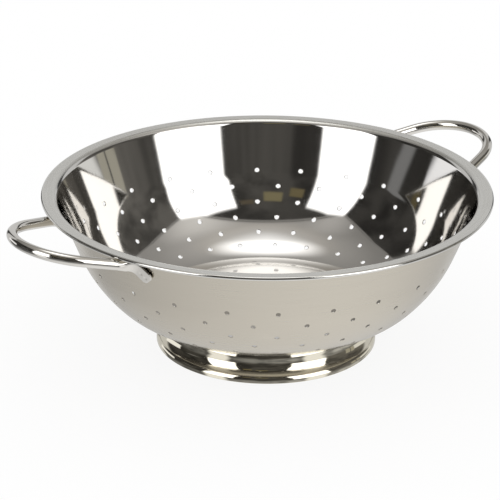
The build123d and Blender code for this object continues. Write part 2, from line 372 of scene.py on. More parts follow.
def turned(values, angle):
    """Points or directions from their radius and height parts, turned to an angle."""
    radius, height = values
    return np.stack([radius * np.cos(angle), radius * np.sin(angle), height * np.ones_like(angle)], -1)


def grid_quads(first, rows, columns):
    """Quads of a grid of vertices, rows by columns, closed round its columns."""
    i = np.arange(rows - 1)[:, None]
    j = np.arange(columns)[None, :]
    k = (j + 1) % columns
    a = first + i * columns + j
    b = first + i * columns + k
    c = first + (i + 1) * columns + k
    d = first + (i + 1) * columns + j
    return np.stack([a, b, c, d], -1).reshape(-1, 4)


def strip(row, following):
    """Quads between two closed rows of as many vertices."""
    return np.stack([row, np.roll(row, -1), np.roll(following, -1), following], -1)


def circle(radius, angles):
    """Points of a circle round the axis, seen from above."""
    return radius * np.stack([np.cos(angles), np.sin(angles)], -1)


def hole_rings():
    """Radius, depth and tilt of the rings round a hole's edge, from one side of the sheet to the other."""
    rings = []
    for tilt, across, down in HOLE_EDGE_PROFILE:
        rings.append((HOLE_RADIUS + HOLE_EDGE * across, HOLE_EDGE * down, math.radians(tilt)))
    return rings + [(radius, SHEET - depth, math.pi - tilt) for radius, depth, tilt in reversed(rings)]


def wall_hole_places(path):
    """Run along the path and azimuth of every hole of the wall."""
    places = []
    wall_start, straight_start = path.parts[WALL_PART][0], path.parts[STRAIGHT_PART][0]
    knuckle_run = WALL_RUN + (KNUCKLE_TURN - WALL_LEAN) * WALL_ARC
    for row in range(ROWS):
        run = FIRST_ROW + row * ROW_PITCH
        if run <= WALL_RUN:
            s = straight_start + WALL_RUN - run
        elif run <= knuckle_run:
            s = wall_start + (knuckle_run - run) * (WALL_ARC - SHEET) / WALL_ARC
        else:
            s = wall_start - (run - knuckle_run) * (KNUCKLE_ARC - SHEET) / KNUCKLE_ARC
        for segment in range(SEGMENTS):
            middle = PAIR_TURN_DEG - ROW_STAGGER_DEG * (row % 2) + segment * 360.0 / SEGMENTS
            for side in (-0.5, 0.5):
                places.append((s, math.radians(middle + side * PAIR_GAP_DEG) % (2 * math.pi)))
    return places


def add_hole(skin, path, runs, sides, s_hole, az_hole):
    """Rounded ring of quads at one hole of the wall, and the rows and columns that it replaces."""
    step = 2 * math.pi / COLUMNS
    reach = HOLE_RADIUS + PATCH_MARGIN
    turn = reach / float(path.at(s_hole)[0][0])
    i0 = int(np.searchsorted(runs, s_hole - reach)) - 1
    i1 = int(np.searchsorted(runs, s_hole + reach))
    j0 = math.floor((az_hole - turn) / step)
    j1 = math.ceil((az_hole + turn) / step)
    loop = [(i0, j) for j in range(j0, j1)] + [(i, j1) for i in range(i0, i1)]
    loop += [(i1, j) for j in range(j1, j0, -1)] + [(i, j0) for i in range(i1, i0, -1)]
    loop_i, loop_j = np.array(loop).T
    x = (loop_j * step - az_hole) * path.at(runs[loop_i])[0]
    y = runs[loop_i] - s_hole
    angle = np.arctan2(y, x)
    halfway = 0.5 * (np.hypot(x, y) + HOLE_RADIUS + HOLE_EDGE)
    corners = loop_i * COLUMNS + loop_j % COLUMNS
    rows = [sides[0] + corners]
    for radius, depth, tilt in [(halfway, 0.0, 0.0), *hole_rings(), (halfway, SHEET, math.pi)]:
        ring_r, ring_z, normal_r, normal_z = path.at(s_hole + radius * np.sin(angle))
        az = az_hole + radius * np.cos(angle) / ring_r
        # outwards from the hole: round the bowl, and along the sheet towards larger runs
        sideways = np.stack([-np.sin(az), np.cos(az), np.zeros_like(az)], -1)
        along = turned((normal_z, -normal_r), az)
        radial = sideways * np.cos(angle)[:, None] + along * np.sin(angle)[:, None]
        normal = turned((normal_r, normal_z), az) * math.cos(tilt) - radial * math.sin(tilt)
        point = turned((ring_r - depth * normal_r, ring_z - depth * normal_z), az)
        rows.append(skin.add(point, normal) + np.arange(len(angle)))
    rows.append(sides[1] + corners)
    for level in range(len(rows) - 1):
        slot = MIRROR_SLOT if level < len(rows) // 2 else OUTSIDE_SLOT
        skin.add_faces(strip(rows[level], rows[level + 1]), slot)
    return i0, i1, j0, j1


def close_curl(skin, path, azimuth, top, under):
    """Rounded edge of the sheet at the curl's end, between the last rows of its two sides."""
    end_r, end_z, end_nr, end_nz = path.at(path.length)[:, 0]
    columns = np.arange(COLUMNS)
    previous = top + columns
    for turn_deg in CURL_END_TURNS_DEG:
        cos, bulge = math.cos(math.radians(turn_deg)), CURL_END_BULGE * math.sin(math.radians(turn_deg))
        dr = cos * end_nr + bulge * end_nz
        dz = cos * end_nz - bulge * end_nr
        point = turned((end_r + SHEET / 2 * (dr - end_nr), end_z + SHEET / 2 * (dz - end_nz)), azimuth)
        following = skin.add(point, turned((dr, dz), azimuth)) + columns
        skin.add_faces(strip(previous, following), CURL_SLOT)
        previous = following
    skin.add_faces(strip(previous, under + columns), CURL_SLOT)


def base_hole_centres():
    """Middles of the base's holes: one on the axis, and rings with six more holes each."""
    centres = [(0.0, 0.0)]
    for ring in range(1, BASE_RINGS + 1):
        count = HOLES_PER_RING_STEP * ring
        for index in range(count):
            angle = math.radians(PAIR_TURN_DEG + index * 360.0 / count)
            centres.append((ring * BASE_RING * math.cos(angle), ring * BASE_RING * math.sin(angle)))
    return np.array(centres)


def base_grid(centres):
    """Even points of the base, in equal triangles, clear of its holes and of the seam."""
    reach = math.ceil(2 * BASE_MESH_RADIUS / (BASE_PITCH * math.sqrt(3)))
    points = []
    for i in range(-reach, reach + 1):
        for j in range(-reach, reach + 1):
            p = np.array([BASE_PITCH * (i + 0.5 * (j % 2)), BASE_PITCH * j * math.sqrt(3) / 2])
            clear = np.hypot(*(centres - p).T).min() > HOLE_RADIUS + BASE_HOLE_MARGIN
            if clear and np.hypot(*p) < BASE_MESH_RADIUS - BASE_SEAM_WIDTH:
                points.append(p)
    return np.array(points)


def add_base(skin, sides, azimuth):
    """Flat base inside the grid's first row, with its holes."""
    centres = base_hole_centres()
    around = BASE_HOLE_COLUMNS
    turn = np.arange(around) * 2 * math.pi / around
    groups = [circle(BASE_MESH_RADIUS, azimuth)]
    for inset, thinning in BASE_SEAM_RINGS:
        count = COLUMNS // thinning
        groups.append(circle(BASE_MESH_RADIUS - inset, (np.arange(count) + 0.5) * 2 * math.pi / count))
    groups.append(base_grid(centres))
    first_hole = sum(len(group) for group in groups)
    edge = HOLE_RADIUS + HOLE_EDGE
    groups += [centre + circle(edge, turn) for centre in centres]
    groups += [centre + circle(edge + BASE_HALO, turn[::2] + math.pi / around) for centre in centres]
    points = np.concatenate(groups)

    loops = [(0, COLUMNS)] + [(first_hole + index * around, around) for index in range(len(centres))]
    edges = [(first + k, first + (k + 1) % count) for first, count in loops for k in range(count)]
    result = delaunay_2d_cdt([Vector(p) for p in points], edges, [], 0, TRIANGLE_SLACK)
    source = [group[0] for group in result[3]]
    triangles = np.array([[source[v] for v in face] for face in result[2]])
    from_centres = points[triangles].mean(1)[:, None] - centres[None]
    triangles = triangles[np.hypot(from_centres[..., 0], from_centres[..., 1]).min(1) > HOLE_RADIUS]

    inner = points[COLUMNS:]
    ids = []
    for first, height, facing, slot in (
        (sides[0], BASE_HEIGHT + SHEET, 1.0, BASE_SLOT),
        (sides[1], BASE_HEIGHT, -1.0, OUTSIDE_SLOT),
    ):
        normals = np.tile([0.0, 0.0, facing], (len(inner), 1))
        start = skin.add(np.column_stack([inner, np.full(len(inner), height)]), normals)
        ids.append(np.concatenate([first + np.arange(COLUMNS), start + np.arange(len(inner))]))
        skin.add_faces(ids[-1][triangles], slot)

    outwards = np.column_stack([circle(1.0, turn), np.zeros(around)])
    for index, centre in enumerate(centres):
        ring = first_hole + index * around + np.arange(around)
        previous = ids[0][ring]
        for radius, depth, tilt in hole_rings()[1:-1]:
            point = np.array([*centre, BASE_HEIGHT + SHEET - depth]) + outwards * radius
            normal = np.array([0, 0, math.cos(tilt)]) - outwards * math.sin(tilt)
            following = skin.add(point, normal) + np.arange(around)
            skin.add_faces(strip(previous, following), BASE_SLOT)
            previous = following
        skin.add_faces(strip(previous, ids[1][ring]), OUTSIDE_SLOT)


def make_bowl(materials):
    """Bowl sheet with its perforations: a grid of quads, with a rounded ring in its place at each hole."""
    path = bowl_path()
    bend_start, bend_run, _ = path.parts[BEND_PART]
    curl_start = path.parts[CURL_PART][0]
    # on the flat base a run along the path is a radius
    runs = np.array([BASE_MESH_RADIUS])
    for step, low, high in (
        (BASE_STEP, BASE_MESH_RADIUS, FLAT_R),
        (WALL_STEP, FLAT_R, bend_start),
        (FLANGE_STEP, bend_start, curl_start),
        (CURL_STEP, curl_start, path.length),
    ):
        runs = np.concatenate([runs, path.stations(step, low, high)[1:]])
    rows = len(runs)
    r, z, nr, nz = path.at(runs)[:, :, None]
    azimuth = np.arange(COLUMNS) * 2 * math.pi / COLUMNS
    skin = Skin()
    sides = []
    for facing, depth in ((1, 0.0), (-1, SHEET)):
        points = turned((r - depth * nr, z - depth * nz), azimuth)
        sides.append(skin.add(points, turned((nr, nz), azimuth) * facing))
    keep = np.ones((rows - 1, COLUMNS), bool)
    for place in wall_hole_places(path):
        i0, i1, j0, j1 = add_hole(skin, path, runs, sides, *place)
        keep[i0:i1, np.arange(j0, j1) % COLUMNS] = False
    keep = keep.reshape(-1)
    run_of = np.repeat(runs[:-1], COLUMNS)
    zones = [run_of < bend_start + bend_run * MIRROR_BEND_SHARE, run_of < curl_start]
    slot_of = np.select(zones, [MIRROR_SLOT, FLANGE_SLOT], CURL_SLOT)
    top, under = (grid_quads(first, rows, COLUMNS) for first in sides)
    for slot in (MIRROR_SLOT, FLANGE_SLOT, CURL_SLOT):
        skin.add_faces(top[keep & (slot_of == slot)], slot)
    skin.add_faces(under[keep], OUTSIDE_SLOT)
    close_curl(skin, path, azimuth, *(first + (rows - 1) * COLUMNS for first in sides))
    add_base(skin, sides, azimuth)
    return skin.make("bowl_dish", materials)


def make_turned(name, outline, columns, materials):
    """Solid of revolution from a closed outline, whose rows have radius, height and normal."""
    azimuth = np.arange(columns) * 2 * math.pi / columns
    r, z, nr, nz = outline.T[:, :, None]
    skin = Skin()
    first = skin.add(turned((r, z), azimuth), turned((nr, nz), azimuth))
    last = first + (len(outline) - 1) * columns
    closing = strip(last + np.arange(columns), first + np.arange(columns))
    skin.add_faces(np.concatenate([grid_quads(first, len(outline), columns), closing]))
    return skin.make(name, materials)


def foot_outline():
    """Closed section of the foot ring, clockwise from the inner edge of its flange."""
    lean = math.degrees(FOOT_LEAN)
    under = FOOT_TOP - FOOT_SHEET
    flange_start, flange_end = FOOT_OPENING + FOOT_EDGE_ROUND, NECK_RADIUS - SHOULDER
    shoulder = (flange_end, FOOT_TOP - SHOULDER)
    skirt = (NECK_RADIUS + SKIRT, FOOT_TOP - SHOULDER)
    lip = (FOOT_RADIUS - LIP, HEM)
    fold = FOOT_RADIUS - 2 * FOOT_SHEET
    outer, inner, hem_edge = FOOT_RADIUS - HEM_ROUND, fold + HEM_ROUND, fold + HEM_EDGE_ROUND
    path = Path()
    path.arc((flange_start, FOOT_TOP - FOOT_EDGE_ROUND), FOOT_EDGE_ROUND, 180.0, 90.0, 1)
    path.line((flange_start, FOOT_TOP), (flange_end, FOOT_TOP), (0.0, 1.0))
    path.arc(shoulder, SHOULDER, 90.0, 0.0, 1)
    path.arc(skirt, SKIRT, 180.0, 180.0 + lean, -1)
    path.arc(lip, LIP, lean, 0.0, 1)
    path.line((FOOT_RADIUS, HEM), (FOOT_RADIUS, HEM_ROUND), (1.0, 0.0))
    path.arc((outer, HEM_ROUND), HEM_ROUND, 0.0, -90.0, 1)
    path.line((outer, 0.0), (inner, 0.0), (0.0, -1.0))
    path.arc((inner, HEM_ROUND), HEM_ROUND, -90.0, -180.0, 1)
    path.line((fold, HEM_ROUND), (fold, HEM - HEM_EDGE_ROUND), (-1.0, 0.0))
    path.arc((hem_edge, HEM - HEM_EDGE_ROUND), HEM_EDGE_ROUND, 180.0, 90.0, 1)
    path.line((hem_edge, HEM), (FOOT_RADIUS - FOOT_SHEET - HEM_GAP, HEM), (0.0, 1.0))
    path.arc(lip, LIP - FOOT_SHEET, 0.0, lean, -1)
    path.arc(skirt, SKIRT + FOOT_SHEET, 180.0 + lean, 180.0, 1)
    path.arc(shoulder, SHOULDER - FOOT_SHEET, 0.0, 90.0, -1)
    path.line((flange_end, under), (flange_start, under), (0.0, -1.0))
    path.arc((flange_start, under + FOOT_EDGE_ROUND), FOOT_EDGE_ROUND, 270.0, 180.0, 1)
    outline = []
    for _, run, place in path.parts:
        step = FOOT_FINE_STEP if run < FOOT_FINE_RUN else FOOT_STEP
        count = max(2, math.ceil(run / step))
        outline.append(np.stack(place(np.linspace(0, 1, count + 1)), 1))
    return np.concatenate(outline)


def handle_point(local):
    """Point of the handle's plane, from its outward and sideways places."""
    cos, sin = math.cos(HANDLE_RISE), math.sin(HANDLE_RISE)
    return Vector((RIM_RADIUS + local[0] * cos, local[1], RIM_HEIGHT - HANDLE_DROP + local[0] * sin))


def leg_point(run):
    x, y = LEG_START
    return handle_point((x - run * math.cos(LEG_SPLAY), y + run * math.sin(LEG_SPLAY)))


def leg_length():
    """Run of the leg to the middle of the tang's thickness, found by halving."""
    near, far = 0.0, RIM_RADIUS
    for _ in range(HALVINGS):
        run = (near + far) / 2
        p = leg_point(run)
        wall_r = WALL_TOP_R - (WALL_TOP_Z - p.z) * math.tan(WALL_LEAN)
        if (math.hypot(p.x, p.y) - wall_r) * math.cos(WALL_LEAN) > WELD_GAP + TANG_THICK / 2:
            near = run
        else:
            far = run
    return near


def tang_frame(run):
    """Origin, heading, width direction and outward direction on the middle of the tang."""
    fold = leg_point(leg_length())
    r, z, dip = wall_place((WALL_TOP_Z - fold.z) / math.cos(WALL_LEAN) + run * math.sin(TANG_FALL))
    turn = math.atan2(fold.y, fold.x) + run * math.cos(TANG_FALL) / r
    outward = Vector((math.cos(turn) * math.cos(dip), math.sin(turn) * math.cos(dip), -math.sin(dip)))
    level = Vector((-math.sin(turn), math.cos(turn), 0))
    down = Vector((-math.cos(turn) * math.sin(dip), -math.sin(turn) * math.sin(dip), -math.cos(dip)))
    heading = level * math.cos(TANG_FALL) + down * math.sin(TANG_FALL)
    origin = Vector((r * math.cos(turn), r * math.sin(turn), z)) + outward * (WELD_GAP + TANG_THICK / 2)
    return origin, heading, outward.cross(heading), outward


def keep_off_wall(point, gap):
    """Moves a point out to the gap from the wall and the underside of the mouth bend."""
    r = math.hypot(point.x, point.y)
    az = math.atan2(point.y, point.x)
    if point.z < WALL_TOP_Z - gap * math.sin(WALL_LEAN):
        least = WALL_TOP_R - (WALL_TOP_Z - point.z) * math.tan(WALL_LEAN) + gap / math.cos(WALL_LEAN)
    else:
        rise = min(0.98, (point.z - BEND_Z) / (MOUTH_BEND - gap))
        least = BEND_R - (MOUTH_BEND - gap) * math.cos(math.asin(rise))
    if r < least:
        return Vector((least * math.cos(az), least * math.sin(az), point.z))
    return point


def smooth(t):
    t = min(1.0, max(0.0, t))
    return t * t * (3 - 2 * t)


def fold_sections(start, out, plane_up):
    """Sections between the round leg and the flat tang, along a smooth curve."""
    leg_line = (leg_point(1) - leg_point(0)).normalized()
    p0 = leg_point(start)
    p3, heading, width, _ = tang_frame(FOLD_END)
    reach = (p3 - p0).length * FOLD_PULL
    p1, p2 = p0 + leg_line * reach, p3 - heading * reach
    sections = []
    for k in range(1, FOLD_STEPS + 1):
        t = k / FOLD_STEPS
        centre = p0 * (1 - t) ** 3 + p1 * 3 * t * (1 - t) ** 2 + p2 * 3 * t * t * (1 - t) + p3 * t ** 3
        tangent = (p1 - p0) * (1 - t) ** 2 + (p2 - p1) * 2 * t * (1 - t) + (p3 - p2) * t * t
        tangent.normalize()
        blend = smooth(t)
        first = (plane_up - tangent * plane_up.dot(tangent)).normalized()
        final = (width - tangent * width.dot(tangent)).normalized()
        if final.dot(first) < 0:
            final = -final
        side = (first * (1 - blend) + final * blend).normalized()
        up = tangent.cross(side)
        if up.dot(out) < 0:
            up = -up
        thick = TUBE + (TANG_THICK / 2 - TUBE) * smooth(t * FOLD_THINNING)
        wide = TUBE + (TANG_WIDTH / 2 - TUBE) * blend
        sections.append([centre, up, side, thick, wide, TUBE_POWER + (TANG_POWER - TUBE_POWER) * blend])
    return sections


def handle_stations():
    """Sections of the handle's +Y half from the loop's tip to the tang's tip.

    Each has its centre, outward and sideways directions, half sizes along them and its oval's power.
    """
    sections = []
    plane_up = Vector((-math.sin(HANDLE_RISE), 0, math.cos(HANDLE_RISE)))
    plane_out = handle_point((1.0, 0)) - handle_point((0, 0))
    half_turn = math.pi / 2 - LEG_SPLAY
    for k in range(LOOP_STEPS + 1):
        angle = half_turn * k / LOOP_STEPS
        centre = handle_point((LOOP_X + LOOP_RADIUS * math.cos(angle), LOOP_RADIUS * math.sin(angle)))
        out = Vector((plane_out.x * math.cos(angle), math.sin(angle), plane_out.z * math.cos(angle)))
        sections.append([centre, out, plane_up, TUBE, TUBE, TUBE_POWER])
    fold_start = leg_length() - FOLD_START
    steps = math.ceil(fold_start / LEG_STEP)
    for k in range(1, steps + 1):
        sections.append([leg_point(fold_start * k / steps), out, plane_up, TUBE, TUBE, TUBE_POWER])
    sections += fold_sections(fold_start, out, plane_up)

    end_run = TANG_LENGTH - TANG_CORNER
    tang = []
    for k in range(1, TANG_STEPS + 1):
        tang.append((FOLD_END + (end_run - FOLD_END) * k / TANG_STEPS, 1.0, TANG_WIDTH / 2))
    for k in range(1, TIP_STEPS + 1):
        angle = math.pi / 2 * k / TIP_STEPS
        thinning = max(0.0, math.sin(angle) - TIP_THIN_FROM) / (1 - TIP_THIN_FROM) * TIP_THIN_BY
        half_width = TANG_WIDTH / 2 - TANG_CORNER * (1 - math.cos(angle))
        tang.append((end_run + TANG_CORNER * math.sin(angle), 1 - thinning, half_width))
    for run, thickness_share, half_width in tang:
        origin, _, width, outward = tang_frame(run)
        side = width if width.dot(sections[-1][2]) > 0 else -width
        sections.append([origin, outward, side, TANG_THICK / 2 * thickness_share, half_width, TANG_POWER])
    return sections


def section_ring(section, around):
    """Points round one section, from its outward side towards its upper edge."""
    centre, out, side, thick, wide, power = section
    ring = []
    for k in range(around):
        a = 2 * math.pi * k / around
        c, s = math.cos(a), math.sin(a)
        x = math.copysign(abs(c) ** (2 / power), c) * thick
        y = math.copysign(abs(s) ** (2 / power), s) * wide
        ring.append(centre + out * x + side * y)
    return ring


def dented(point, welds):
    """A point of a tang, pressed in where its outer face has a weld and raised round it."""
    for origin, heading, width, outward in welds:
        offset = point - origin
        radii = math.hypot(offset.dot(heading), offset.dot(width)) / (TANG_WELD / 2)
        if offset.dot(outward) > TANG_THICK * OUTER_FACE_SHARE and radii < DENT_REACH:
            ridge = DENT_RIDGE * math.exp(-((radii - DENT_RIDGE_AT) / DENT_RIDGE_WIDTH) ** 2)
            point = point - outward * (TANG_DENT * (1 - smooth(radii)) - ridge)
    return point


def make_handle(name, turn_deg, materials):
    """One handle: a smooth tube that flattens into two tangs laid on the wall."""
    rings = [section_ring(section, TUBE_COLUMNS) for section in handle_stations()]
    near_tip = TANG_LENGTH - TANG_WELD_INSET
    welds = [tang_frame(near_tip), tang_frame(near_tip - TANG_WELD_SPACING)]
    for ring in rings[-(FOLD_STEPS + TANG_STEPS + TIP_STEPS):]:
        ring[:] = [dented(keep_off_wall(point, WELD_GAP), welds) for point in ring]
    mirrored = [[Vector((p.x, -p.y, p.z)) for p in ring] for ring in rings]
    points = np.array([[list(p) for p in ring] for ring in mirrored[::-1] + rings[1:]])
    cos, sin = math.cos(math.radians(turn_deg)), math.sin(math.radians(turn_deg))
    points = points @ np.array([[cos, -sin, 0], [sin, cos, 0], [0, 0, 1]]).T
    roundwise = np.roll(points, -1, 1) - np.roll(points, 1, 1)
    normals = np.cross(roundwise, np.gradient(points, axis=0))
    normals /= np.linalg.norm(normals, axis=2, keepdims=True) + SLACK
    middles = points.mean(1)
    normals *= np.sign((normals * (points - middles[:, None])).sum())
    skin = Skin()
    first = skin.add(points, normals)
    rows = len(points)
    skin.add_faces(grid_quads(first, rows, TUBE_COLUMNS))
    for row, beside in ((0, 1), (rows - 1, rows - 2)):
        outside = middles[row] - middles[beside]
        outside /= np.linalg.norm(outside)
        centre = skin.add([middles[row] + outside * TIP_BULGE], [outside])
        ring = first + row * TUBE_COLUMNS + np.arange(TUBE_COLUMNS)
        skin.add_faces(np.stack([ring, np.roll(ring, -1), np.full(TUBE_COLUMNS, centre)], -1))
    return skin.make(name, materials)


class Sums:
    """Small sums made of nodes: all methods but fill and node return the socket with their result."""

    def __init__(self, tree):
        self.tree = tree

    def fill(self, node, inputs):
        """The node, with its inputs, by name or number, set to values or linked to sockets."""
        for key, value in inputs.items():
            if isinstance(value, bpy.types.NodeSocket):
                self.tree.links.new(value, node.inputs[key])
            else:
                node.inputs[key].default_value = value
        return node

    def node(self, kind, inputs, operation=None):
        """New node with its inputs filled, and its operation set where it has one."""
        node = self.tree.nodes.new("ShaderNode" + kind)
        if operation:
            node.operation = operation
        return self.fill(node, inputs)

    def math(self, operation, *values):
        return self.node("Math", dict(enumerate(values)), operation).outputs[0]

    def plus(self, a, b):
        return self.math("ADD", a, b)

    def minus(self, a, b):
        return self.math("SUBTRACT", a, b)

    def times(self, *values):
        result = values[0]
        for value in values[1:]:
            result = self.math("MULTIPLY", result, value)
        return result

    def dot(self, vector, axis):
        return self.node("VectorMath", {0: vector, 1: axis}, "DOT_PRODUCT").outputs["Value"]

    def rise(self, value, start, end):
        """Smooth step from 0 at the start to 1 at the end, which may be the lower of the two."""
        node = self.node("MapRange", {"Value": value, "From Min": start, "From Max": end})
        node.interpolation_type = "SMOOTHSTEP"
        return node.outputs["Result"]

    def band(self, value, low, high, soft):
        """1 between low and high, 0 outside, with edges softened by soft."""
        up = self.rise(value, low - soft, low + soft)
        down = self.rise(value, high - soft, high + soft)
        return self.minus(up, down)

    def oval(self, x, y, centre, half, soft, power=2.0):
        """1 inside an oval, 0 outside, softened over a share of its size. A higher power is squarer."""
        raised = []
        for value, middle, reach in zip((x, y), centre, half):
            share = self.math("ABSOLUTE", self.math("DIVIDE", self.minus(value, middle), reach))
            raised.append(self.math("POWER", share, power))
        far = self.math("POWER", self.plus(*raised), 1 / power)
        return self.minus(1.0, self.rise(far, 1 - soft, 1 + soft))

    def noise(self, vector, scale, detail):
        inputs = {"Vector": vector, "Scale": scale, "Detail": detail}
        return self.node("TexNoise", inputs).outputs["Fac"]

    def scaled(self, colour, share):
        """Colour times a number."""
        return self.node("VectorMath", {0: colour, "Scale": share}, "SCALE").outputs[0]

    def ramp(self, value, stops):
        """Grey that runs through stops, each with its place, level and any warmth."""
        low, high = stops[0][0], stops[-1][0]
        share = self.math("DIVIDE", self.minus(value, low), high - low)
        node = self.node("ValToRGB", {"Fac": share})
        elements = node.color_ramp.elements
        while len(elements) < len(stops):
            elements.new(0.5)
        for element, (at, *shade) in zip(elements, stops):
            element.position = (at - low) / (high - low)
            element.color = grey(*shade)
        return node.outputs["Color"]

    def over(self, mask, below, colour, blend="MIX"):
        """Colour laid over what is below where the mask is 1."""
        node = self.tree.nodes.new("ShaderNodeMix")
        node.data_type = "RGBA"
        node.blend_type = blend
        # sockets 6 and 7 take the colours of this kind of mix, and output 2 gives its colour
        return self.fill(node, {"Factor": mask, 6: below, 7: colour}).outputs[2]


def grey(level, warm=0.0):
    """Opaque grey of a level, with more red and less blue where it is warm."""
    return (level * (1 + warm), level, level * (1 - warm * BLUE_LOSS), 1)


def steel(name, colour, roughness, waviness=0.0, spun=0.0, wear=0.15, mottle=0.04):
    """Steel with an uneven polish: low waves, marks turned round the axis, rubbed patches and scratches.

    Roughness is about its mean, waviness is the waves' height in metres, and the rest are strengths.
    """
    material = bpy.data.materials.new(name)
    material.use_nodes = True
    sums = Sums(material.node_tree)
    place = sums.node("TexCoord", {}).outputs["Object"]
    x, y, z = (sums.dot(place, axis) for axis in ((1, 0, 0), (0, 1, 0), (0, 0, 1)))
    radius = sums.math("SQRT", sums.plus(sums.times(x, x), sums.times(y, y)))
    # turning marks and scratches: noise drawn out round the axis
    run = sums.times(sums.math("ARCTAN2", y, x), TURNING_STRETCH)
    drawn = sums.node("CombineXYZ", {0: radius, 1: z, 2: run}).outputs[0]
    marks = sums.noise(drawn, TURNING_SCALE, detail=3.0)
    patches = sums.noise(place, PATCH_SCALE, detail=5.0)
    scratches = sums.noise(drawn, SCRATCH_SCALE, detail=1.0)
    scratched = sums.times(sums.rise(scratches, *SCRATCHED), sums.rise(patches, *RUBBED))
    uneven = sums.plus(sums.times(patches, 0.5), sums.times(marks, 0.5 + spun))
    uneven = sums.plus(uneven, sums.times(scratched, wear))
    shade = sums.plus(sums.times(patches, PATCHES_IN_SHADE), sums.times(marks, 1 - PATCHES_IN_SHADE))
    darkened = (*(c * (1 - mottle) for c in colour), 1)
    # bump: low waves of the sheet, and the marks on it
    waves = sums.times(sums.noise(place, WAVE_SCALE, detail=1.0), waviness)
    height = sums.plus(waves, sums.times(marks, spun * TURNING_DEPTH))
    shader = material.node_tree.nodes["Principled BSDF"]
    shader.inputs["Metallic"].default_value = 1.0
    for socket, value in (
        ("Roughness", sums.times(sums.plus(uneven, 0.5 - 0.5 * spun), roughness)),
        ("Base Color", sums.over(shade, darkened, (*colour, 1))),
        ("Normal", sums.node("Bump", {"Distance": 1.0, "Height": height}).outputs["Normal"]),
    ):
        material.node_tree.links.new(value, shader.inputs[socket])
    return material


mirror_steel = steel("mirror_steel", (0.66, 0.645, 0.62), 0.06, waviness=0.00002, spun=0.15)
flange_steel = steel("flange_steel", (0.67, 0.66, 0.625), 0.28, spun=0.6)
outside_steel = steel("outside_steel", (0.565, 0.527, 0.455), 0.22, waviness=0.00003, spun=0.8)
curl_steel = steel("curl_polished", (0.68, 0.67, 0.64), 0.09)
base_steel = steel("base_steel", (0.66, 0.645, 0.62), 0.08)
foot_steel = steel("foot_polished", (0.70, 0.66, 0.555), 0.06, waviness=0.00001, spun=0.2)
tube_steel = steel("tube_polished", (0.68, 0.66, 0.62), 0.07, waviness=0.00001)
weld_steel = steel("weld_dull", (0.45, 0.44, 0.42), 0.4, wear=0.4)

bowl = make_bowl([mirror_steel, flange_steel, outside_steel, base_steel, curl_steel])
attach(bowl, "root")
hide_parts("bowl")

foot = make_turned("foot_ring_turned", foot_outline(), FOOT_COLUMNS, [foot_steel])
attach(foot, "root")
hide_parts("foot_ring")

for side_name, node, turn_deg in (
    ("handle_tube_right", "handle_right", HANDLE_SKEW_DEG),
    ("handle_tube_left", "handle_left", 180.0 - HANDLE_SKEW_DEG),
):
    piece = make_handle(side_name, turn_deg, [tube_steel])
    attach(piece, "root")
    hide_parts(node)

for node in ("foot_welds", "handle_welds"):
    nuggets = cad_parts[node].data
    nuggets.materials.clear()
    nuggets.materials.append(weld_steel)

scene = bpy.context.scene
scene.view_settings.view_transform = "Standard"

# Turn of the camera about the object's axis
VIEW_TURN = math.radians(-35.93)

# Studio that the steel mirrors. Azimuths run from the camera to its right, elevations up from the horizon,
# in degrees. Places across and behind are on a level plane above the object, in that plane's heights, and
# a least height keeps them finite. Levels are shares of white. The softness of a band or window comes last.
DEGREES = 180 / math.pi
LEAST_HEIGHT = 0.05

# Ceiling, floor and what lies between: elevation, level and any warmth. All is brighter to the right, and the
# floor is darker behind. The glow of each panel on the ceiling is an oval with its level.
SURROUNDINGS = (
    (-90.0, 0.97), (-70.0, 0.965), (-60.0, 0.93), (-50.0, 0.86), (-40.0, 0.74), (-30.0, 0.58),
    (-20.0, 0.43), (0.0, 0.36), (35.0, 0.30, 0.03), (45.0, 0.33, 0.03), (60.0, 0.45, 0.03),
    (65.0, 0.50, 0.04), (70.0, 0.57, 0.04), (75.0, 0.62, 0.03), (80.0, 0.66, 0.02), (90.0, 0.66),
)
FLOOR_FROM = (-10.0, -30.0)
BRIGHTER_RIGHT = 0.22
DARKER_BEHIND = 0.12
CEILING_GLOWS = (
    (((60.0, 47.0), (30.0, 12.0), 0.95), 0.42),
    (((-60.0, 48.0), (15.0, 11.0), 0.95), 0.22),
)
GLOW_WARMTH = 0.02

# Softbox above the object, half as strong in front: middle, half size, softness and power of its oval
SOFTBOX = ((0.0, 0.22), (0.224, 0.306), 0.72, 1.6)
SOFTBOX_LEVEL = 2.4
SOFTBOX_WHOLE_FROM = (-0.02, 0.14)

# Pale backdrop low behind the object, with a dark streak at both sides
BACK_FROM = (124.0, 132.0)
BACKDROP = (-34.0, 33.0, 3.0)
BACKDROP_LEVEL = 0.72
STREAK = ((148.0, 158.0), (-8.0, 30.0), 2.5, 3.0)
STREAK_LEVEL = 0.06

# Edges of the pale ceiling: direction across, place and slant of the left and right ones, and place of the
# front one. A border and a dark seam run along them, high up, with their shades.
CEILING_SIDES = ((-1.0, 1.06, 0.13), (1.0, 1.15, 0.20))
CEILING_FRONT = 0.52
BORDER = (-0.09, 0.0)
BORDER_SHADE = (0.30, 0.03)
SEAM = (-0.042, -0.026, 0.007)
SEAM_SHADE = (0.16, 0.03)
ROOM_EDGE = (-0.012, 0.012)
CEILING_FROM = (20.0, 30.0)

# Dark room past those edges, lighter to the right and mottled, down to the floor in its shade
ROOM_FROM = (-42.0, -24.0)
ROOM_SHADES = ((-40.0, 0.34), (-14.0, 0.22), (-2.0, 0.07, 0.05), (60.0, 0.06, 0.05))
ROOM_LIGHTER_BY = 0.0075
ROOM_LEAST = 0.6
MOTTLE_SCALE = 3.2
MOTTLE_RANGE = (0.35, 0.65)
MOTTLE_LOW, MOTTLE_GAIN = 0.6, 0.8

